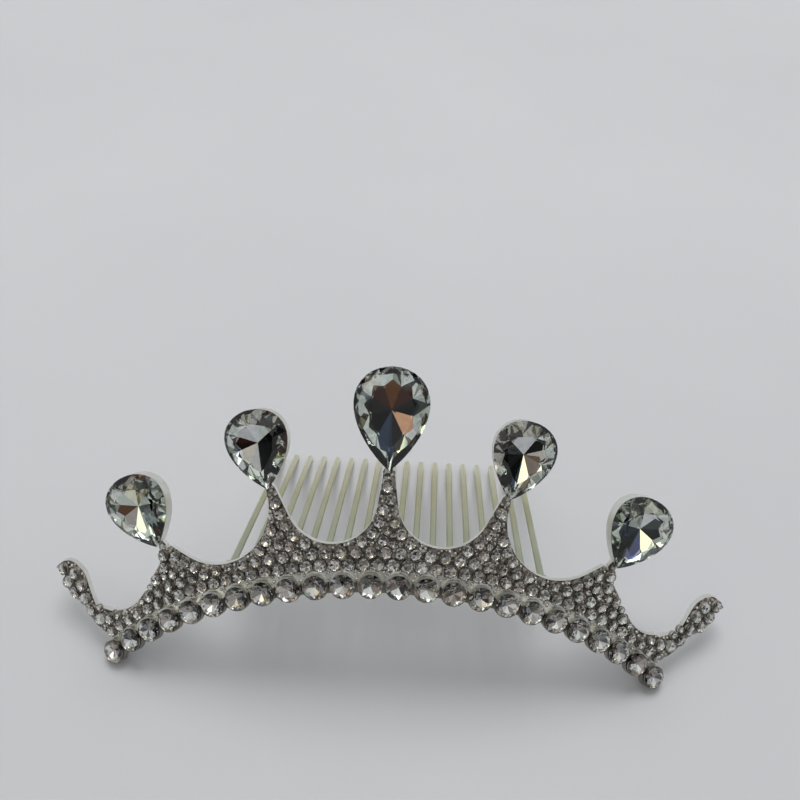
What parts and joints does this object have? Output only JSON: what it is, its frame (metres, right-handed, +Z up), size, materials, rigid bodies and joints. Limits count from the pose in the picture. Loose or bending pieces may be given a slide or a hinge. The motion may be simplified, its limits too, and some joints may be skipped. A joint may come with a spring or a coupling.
{
  "type": "tiara comb",
  "caption": "Arched and bent metal tiara with drop-shaped crystals on posts, a row of round crystals, small crystals over the band, curled ends and a comb behind.",
  "frame": {"origin": "under the middle of the part's box, on the surface that it lies on", "axes": "+X along the tiara to the wearer's left as seen from the front, -Y the front with the stones, +Z up as it lies on its end cups and comb tips"},
  "size_m": [0.1363, 0.0558, 0.0544],
  "materials": {
    "silver": "polished plated casting, slightly worn on the edges",
    "comb_silver": "plated, a little duller and greyer than the casting",
    "crystal": "clear cut crystal with a mirror-coated back",
    "small_crystal": "small clear cut crystals with mirror-coated backs"
  },
  "bodies": {
    "root": {"frame": "silver", "comb": "comb_silver", "pave_left": "small_crystal", "pave_right": "small_crystal", "drop_stone_1": "crystal", "drop_stone_2": "crystal", "drop_stone_3": "crystal", "drop_stone_4": "crystal", "drop_stone_5": "crystal", "round_stone_01": "crystal", "round_stone_02": "crystal", "round_stone_03": "crystal", "round_stone_04": "crystal", "round_stone_05": "crystal", "round_stone_06": "crystal", "round_stone_07": "crystal", "round_stone_08": "crystal", "round_stone_09": "crystal", "round_stone_10": "crystal", "round_stone_11": "crystal", "round_stone_12": "crystal", "round_stone_13": "crystal", "round_stone_14": "crystal", "round_stone_15": "crystal", "round_stone_16": "crystal", "round_stone_17": "crystal", "round_stone_18": "crystal", "round_stone_19": "crystal", "round_stone_20": "crystal", "round_stone_21": "crystal", "round_stone_22": "crystal", "round_stone_23": "crystal", "round_stone_24": "crystal"}
  },
  "joints": []
}
